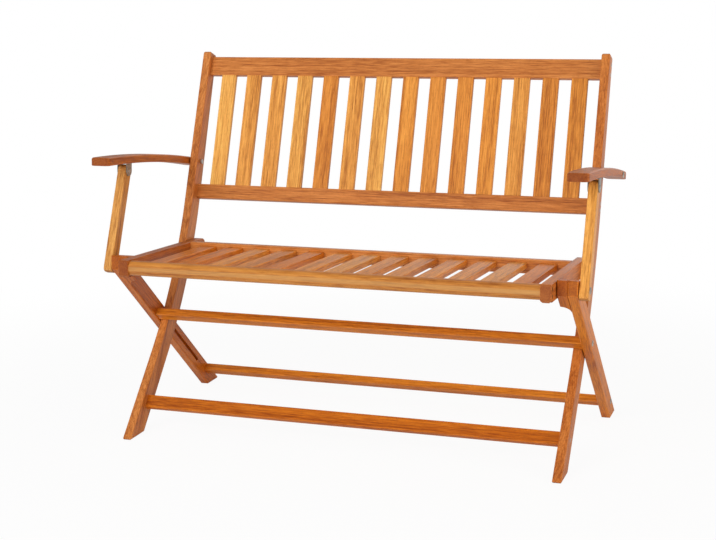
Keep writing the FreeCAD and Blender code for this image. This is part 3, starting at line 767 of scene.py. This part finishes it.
def front_rail(node="seat_front_rail"):
    """Bar as long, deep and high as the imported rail, turned to lie as it does."""
    backwards = flat_normal(node)
    ways = (RIGHT, backwards, RIGHT.cross(backwards))
    reaches = [span(node, way) for way in ways]
    sizes = [high - low for low, high in reaches]
    bar = begin("cube", size=1, scale=sizes)
    front = -sizes[1] / 2

    def long_edge(a, b):
        return abs(a.x - b.x) > sizes[0] / 2

    pick_edges(bar, lambda a, b: long_edge(a, b) and max(a.y, b.y) < front + TOUCH)
    bpy.ops.mesh.bevel(offset=NOSE_ROUND, segments=12)
    pick_edges(bar, lambda a, b: long_edge(a, b) and min(a.y, b.y) > -front - TOUCH)
    bpy.ops.mesh.bevel(offset=BACK_ROUND, segments=3)
    close(bar)
    centre = sum((way * (low + high) / 2 for way, (low, high) in zip(ways, reaches)), Vector())
    turn = Matrix(ways).transposed().to_4x4()
    rail = set_copies("rail_seat_front", bar, [Matrix.Translation(centre) @ turn])
    fit(rail, "seat", bpy.data.materials["timber_" + node], node, slot="timber")
    drop(bar)


front_rail()

# %% [markdown]
# ## The steel finish
#
# The fittings are cheap zinc-plated steel: bright but not polished, a little
# cloudy, with fine scratches and a duller, browner film where oil from the
# wood has crept over the rim. A plain grey metal would look like chrome.
# Slow noise makes the clouds, stretched fine noise the scratches, and a
# third, slower one the film. The brackets get a darker plating, which is
# painted shade for their place under the arms, and the seat frame's screws
# have gone brown.

# %% Plated steel
CLOUD_TINT, FILM_COLOUR = (0.74, 0.72, 0.68), (0.30, 0.21, 0.13, 1)


def plated_steel(name, tone):
    """Cloudy plated steel of a given colour."""
    steel = Finish(bpy.data.materials.new(name))
    place = steel.place("Object")

    def marks(across, along, detail=2.0):
        """Noise with so many marks to the metre across and along the depth."""
        return steel.noise(steel.vector("MULTIPLY", place, (across, along, across)), detail)

    clouds = marks(260.0, 260.0, 3.0)
    film = marks(90.0, 90.0).step(0.45, 0.75)
    scratches = marks(3600.0, 500.0)
    colour = steel.blend(clouds, tone, tinted(tone, CLOUD_TINT))
    colour = steel.blend(film * 0.35, colour, FILM_COLOUR)
    rough = 0.24 + 0.20 * clouds + 0.16 * film + 0.08 * scratches
    bump = steel.add("ShaderNodeBump", None,
                     {"Height": scratches, "Strength": 0.2, "Distance": 0.0001})
    return steel.surface(Base_Color=colour, Metallic=0.75, Roughness=rough, Normal=bump)


PLATE = plated_steel("zinc_plate", (0.68, 0.67, 0.65, 1))
# Darker plating for the brackets: painted shade under the arms
SHADED_PLATE = plated_steel("zinc_with_painted_shade", (0.46, 0.45, 0.43, 1))
BROWNED = plated_steel("browned_screw", (0.26, 0.13, 0.06, 1))
print("plated steel ready")

# %% [markdown]
# ## Domed bolts
#
# The pivots are furniture bolts: a low dome over the board's face, a
# hex socket in its middle, and a smooth shank through the layers. A
# scaled sphere would give a dome with a bad rim. Insetting the top of a thin
# disc again and again, each time a little higher and further in, draws the
# dome's curve ring by ring, and leaves a flat middle for the socket. The
# screws of the rear legs have the same kind of head, a little smaller. In the
# picture it stands proud of the legs and catches the light.

# %% Domed bolt
DISC = 0.5 * MM
BOLT_RADIUS, BOLT_HEAD, SHANK_RADIUS = 8.0 * MM, 2.5 * MM, 4.0 * MM
SHANK_TIP = 0.4 * MM
SOCKET_RADIUS, SOCKET_DEPTH, SOCKET_FLAT = 2.5 * MM, 1.5 * MM, 3.4 * MM


def dome(radius, height, end_radius, steps=7):
    """Insets the picked flat cap ring by ring along a quarter ellipse."""
    last_angle = math.acos(end_radius / radius)
    angles = [last_angle * i / steps for i in range(steps + 1)]
    for a, b in zip(angles, angles[1:]):
        bpy.ops.mesh.inset(thickness=radius * (math.cos(a) - math.cos(b)),
                           depth=height * (math.sin(b) - math.sin(a)) / math.sin(last_angle))


def domed_bolt(shank, radius=BOLT_RADIUS, height=BOLT_HEAD, shank_radius=SHANK_RADIUS):
    """Bolt with its head's seat on the origin, its dome up and its shank down."""
    bolt = begin("cylinder", vertices=48, radius=radius, depth=DISC, location=(0, 0, DISC / 2))
    pick(bolt, bottom_face(bolt))
    bpy.ops.mesh.inset(thickness=radius - shank_radius)
    push(SHANK_TIP - shank)
    bpy.ops.mesh.inset(thickness=SHANK_TIP, depth=SHANK_TIP)
    pick(bolt, top_face(bolt))
    dome(radius, height - DISC, SOCKET_FLAT)
    close(bolt)
    socket = begin("cylinder", vertices=6, radius=SOCKET_RADIUS, depth=2 * SOCKET_DEPTH,
                   location=(0, 0, height))
    combine(bolt, close(socket), "DIFFERENCE")
    return close(bolt)


def side_places(node, sink=0.0, outwards=1):
    """Places on the outer faces of a node's loose pieces, or with -1 on the inner ones."""
    places = []
    for low, high in loose_boxes(node):
        side = math.copysign(outwards, (low + high).x)
        face = (high.x if side > 0 else low.x) - side * sink
        centre = (low + high) / 2
        places.append(facing((face, centre.y, centre.z), (side, 0, 0)))
    return places


def stand_in(name, node, body, master, places, finish=PLATE):
    """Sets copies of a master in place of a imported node, and drops the master."""
    fit(set_copies(name, master, places), body, finish, node)
    drop(master)


def bolts(name, node, body, outwards=1):
    """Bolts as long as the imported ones, with heads on the outer or inner side."""
    low, high = loose_boxes(node)[0]
    master = domed_bolt(high.x - low.x - BOLT_HEAD)
    stand_in(name, node, body, master, side_places(node, BOLT_HEAD, outwards))


bolts("bolts_seat_front", "seat_front_pivot_bolts", "seat")
bolts("bolts_arm", "arm_pivot_bolts", "back_frame")
bolts("bolts_seat_rear", "seat_rear_pivot_bolts", "back_frame", -1)

# %% Screws of the rear legs
SCREW_LENGTH, SCREW_RADIUS = 44.0 * MM, 2.5 * MM

raised = domed_bolt(SCREW_LENGTH, radius=7.0 * MM, height=2.2 * MM, shank_radius=SCREW_RADIUS)
stand_in("screws_rear_leg", "rear_leg_screws", "rear_legs", raised,
         side_places("rear_leg_screws"))

# %% [markdown]
# ## Cap nuts and washers
#
# On the inner face of each stile a silver nut closes the arm's bolt. Its
# six flats keep crisp corners under a small dome, so a bevelled hexagon and
# a domed disc are made apart and united. A washer is a disc with a bridged
# hole and a soft rim, as it comes from the press.

# %% Cap nut
NUT_HEIGHT, NUT_FLATS, NUT_CORNER, NUT_ROUND = 5.0 * MM, 3.0 * MM, 6.5 * MM, 0.35 * MM
CAP_RADIUS, CAP_RIM, CAP_FLAT = 5.0 * MM, 0.3 * MM, 0.8 * MM


def cap_nut():
    """Bevelled hexagon with a domed cap, standing on the origin."""
    nut = begin("cylinder", vertices=6, radius=NUT_CORNER, depth=NUT_FLATS,
                location=(0, 0, NUT_FLATS / 2))
    pick(nut, top_face(nut))
    bpy.ops.mesh.bevel(offset=NUT_ROUND, segments=2)
    close(nut)
    cap = begin("cylinder", vertices=40, radius=CAP_RADIUS, depth=NUT_FLATS,
                location=(0, 0, NUT_FLATS / 2 + CAP_RIM))
    pick(cap, top_face(cap))
    dome(CAP_RADIUS, NUT_HEIGHT - NUT_FLATS - CAP_RIM, CAP_FLAT)
    combine(nut, close(cap), "UNION")
    return close(nut)


def nuts(name, node, body):
    """Cap nuts on the sides that face the middle of the bench."""
    stand_in(name, node, body, cap_nut(), side_places(node, NUT_HEIGHT, -1))


nuts("nuts_arm", "arm_pivot_nuts", "back_frame")
nuts("nuts_seat_front", "seat_front_pivot_nuts", "seat")


# %% Washer
WASHER_RADIUS, WASHER_HOLE = 9.0 * MM, 4.1 * MM
WASHER_RIM, WASHER_ROUND = 0.15 * MM, 0.12 * MM


def washer(thickness):
    """Ring about the origin with a soft outer rim."""
    ring = begin("cylinder", vertices=48, radius=WASHER_RADIUS, depth=thickness)
    pick(ring, both_ends)
    bpy.ops.mesh.inset(thickness=WASHER_RIM, depth=0.0)
    bpy.ops.mesh.inset(thickness=WASHER_RADIUS - WASHER_HOLE - WASHER_RIM)
    bpy.ops.mesh.bridge_edge_loops()

    def outer_rim(a, b):
        return abs(a.z - b.z) < TOUCH and min(a.xy.length, b.xy.length) > WASHER_RADIUS - TOUCH

    pick_edges(ring, outer_rim)
    bpy.ops.mesh.bevel(offset=WASHER_ROUND, segments=2)
    return close(ring)


def centred(name, node, body, make):
    """Pieces whose axis lies across the bench, each at the middle of its packed one."""
    boxes = loose_boxes(node)
    places = [facing((low + high) / 2, RIGHT) for low, high in boxes]
    stand_in(name, node, body, make(boxes), places)


def thinnest_washer(boxes):
    return washer(min(high.x - low.x for low, high in boxes))


centred("washers_stile", "stile_pivot_washers", "back_frame", thinnest_washer)
centred("washers_seat", "seat_front_pivot_washers", "seat", thinnest_washer)

# %% [markdown]
# ## Wood screws and guide pins
#
# Countersunk screws lie flush in the boards' faces, each with a cross recess
# of two tapered slots. The slots are cut by two thin blocks, because a
# recess that is only painted dark stays flat in grazing light. The pins that
# guide the legs are plain rods with a worn, rounded end.

# %% Countersunk screw
CONE_RIM = 0.25 * MM
POINT_LENGTH, POINT_RADIUS = 3.0 * MM, 0.3 * MM
# Length, width and height of a slot's block as shares of the head's radius
SLOT_LENGTH, SLOT_WIDTH, SLOT_HEIGHT, SLOT_TAPER = 1.25, 0.2, 0.5, 0.6
CROSS_START, CROSS_TURNS = 0.35, 40


def countersunk_screw(head, shank_radius, cone, length):
    """Screw with its flat head in the plane z = 0 and its point down."""
    screw = begin("cylinder", vertices=32, radius=head, depth=CONE_RIM,
                  location=(0, 0, -CONE_RIM / 2))
    pick(screw, bottom_face(screw))
    bpy.ops.mesh.inset(thickness=head - shank_radius, depth=cone - CONE_RIM)
    push(-(length - cone - POINT_LENGTH))
    bpy.ops.mesh.inset(thickness=shank_radius - POINT_RADIUS, depth=POINT_LENGTH)
    close(screw)
    for turn in (0, math.pi / 2):
        slot = begin("cube", size=1, rotation=(0, 0, turn),
                     scale=(head * SLOT_LENGTH, head * SLOT_WIDTH, head * SLOT_HEIGHT))
        pick(slot, bottom_face(slot))
        bpy.ops.transform.resize(value=(SLOT_TAPER, SLOT_TAPER, 1))
        combine(screw, close(slot), "DIFFERENCE")
    return close(screw)


def cross_turned(place):
    """The same place with the cross at an angle of its own, which its height gives."""
    return place @ Matrix.Rotation(CROSS_START + CROSS_TURNS * place.translation.z, 4, "Z")


def wood_screws(name, node, body, finish=PLATE):
    master = countersunk_screw(head=5.0 * MM, shank_radius=SCREW_RADIUS, cone=3.0 * MM,
                               length=SCREW_LENGTH)
    places = [cross_turned(place) for place in side_places(node)]
    stand_in(name, node, body, master, places, finish)


wood_screws("screws_stile", "stile_screws", "back_frame")
wood_screws("screws_seat", "seat_frame_screws", "seat", BROWNED)


# %% Guide pins
GUIDE_PIN_ROUND = 0.4 * MM


def guide_pin(boxes):
    """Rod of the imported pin's own radius and length, with rounded ends."""
    low, high = boxes[0]
    pin = begin("cylinder", vertices=40, radius=(high.z - low.z) / 2, depth=high.x - low.x)
    pick(pin, both_ends)
    bpy.ops.mesh.bevel(offset=GUIDE_PIN_ROUND, segments=3)
    return close(pin)


centred("pins_guide", "guide_pins", "back_frame", guide_pin)

# %% [markdown]
# ## Post brackets
#
# Under each arm a small steel channel holds the top of the post: a plate
# screwed to the arm and two round-tipped ears with a pin through them. It is
# bent from one strip, so it is modelled as one: a block is bisected where the
# bends are, both ends are pushed down as ears, their tips are bevelled round,
# and every edge gets the small radius of a stamping. The pin's two ends are
# riveted over, so one half with a domed end is made and set twice, and the
# halves are welded in the middle.

# %% Bracket
PLATE_THICK = 2.0 * MM
EAR_ROUND = 0.49
STAMPED_ROUND, SHARP_ANGLE = 0.35 * MM, 40


def post_bracket(side):
    """Makes one bracket and hands back the direction in which its ears point."""
    node = side + "_post_bracket"
    down = flat_normal(node)
    forward = RIGHT.cross(down).normalized()
    (left, right), (near, far), (top, tip) = (span(node, way) for way in (RIGHT, forward, down))
    wide, long, deep = right - left, far - near, tip - top
    bend = wide / 2 - PLATE_THICK
    block = begin("cube", size=1, scale=(wide, long, PLATE_THICK),
                  location=(0, 0, -PLATE_THICK / 2))
    for place in (-bend, bend):
        bpy.ops.mesh.select_all(action="SELECT")
        bpy.ops.mesh.bisect(plane_co=(place, 0, 0), plane_no=(1, 0, 0))
    pick(block, lambda middle, normal: normal.z < -FACING and abs(middle.x) > bend)
    push(PLATE_THICK - deep)
    pick_edges(block, lambda a, b: max(a.z, b.z) < TOUCH - deep and abs(a.y - b.y) < TOUCH)
    bpy.ops.mesh.bevel(offset=long * EAR_ROUND, segments=9)
    close(block)
    apply(block, "BEVEL", width=STAMPED_ROUND, segments=2, limit_method="ANGLE",
          angle_limit=math.radians(SHARP_ANGLE))
    close(block)
    turn = Matrix((RIGHT, forward, -down)).transposed().to_4x4()
    centre = RIGHT * (left + right) / 2 + forward * (near + far) / 2 + down * top
    # The bracket gets the darker plating, which paints in the shade under the arm
    stand_in("bracket_" + side, node, side + "_arm", block,
             [Matrix.Translation(centre) @ turn], SHADED_PLATE)
    return down


print("bracket plates", PLATE_THICK / MM, "mm thick")


# %% Its pin and screws
RIVET_HEIGHT, RIVET_RIM, RIVET_FLAT, PIN_RADIUS = 1.5 * MM, 0.4 * MM, 0.8 * MM, 3.0 * MM
MIDDLE_WELD = 0.05 * MM


def riveted_pin(low, high):
    """Pin along the bench with a domed rivet head on each end."""
    length, radius = high.x - low.x, (high.z - low.z) / 2
    half = begin("cylinder", vertices=40, radius=radius, depth=RIVET_RIM,
                 location=(0, 0, length / 2 - RIVET_HEIGHT + RIVET_RIM / 2))
    pick(half, top_face(half))
    dome(radius, RIVET_HEIGHT - RIVET_RIM, RIVET_FLAT, 5)
    pick(half, bottom_face(half))
    bpy.ops.mesh.inset(thickness=radius - PIN_RADIUS)
    push(RIVET_HEIGHT - length / 2)
    bpy.ops.mesh.delete(type="FACE")
    close(half)
    pin = set_copies("pin", half, [facing((low + high) / 2, (way, 0, 0)) for way in (-1, 1)])
    apply(pin, "WELD", merge_threshold=MIDDLE_WELD)
    drop(half)
    return close(pin)


def bracket_fasteners(side, down):
    """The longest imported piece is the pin, and the others are screws up into the arm."""
    node = side + "_bracket_fasteners"
    rivet, *screw_boxes = sorted(loose_boxes(node), key=lambda box: box[0].x - box[1].x)
    pin = riveted_pin(*rivet)
    small = countersunk_screw(head=3.5 * MM, shank_radius=1.75 * MM, cone=2.0 * MM,
                              length=13.0 * MM)
    plate_face = span(side + "_post_bracket", down)[0] + PLATE_THICK
    middles = [(low + high) / 2 for low, high in screw_boxes]
    places = [facing(m + down * (plate_face - m.dot(down)), down) for m in middles]
    screws = set_copies("screws", small, places)
    fit(joined("bracket_pin_" + side, [pin, screws]), side + "_arm", PLATE, node)
    drop(small)


for side in ("left", "right"):
    bracket_fasteners(side, post_bracket(side))
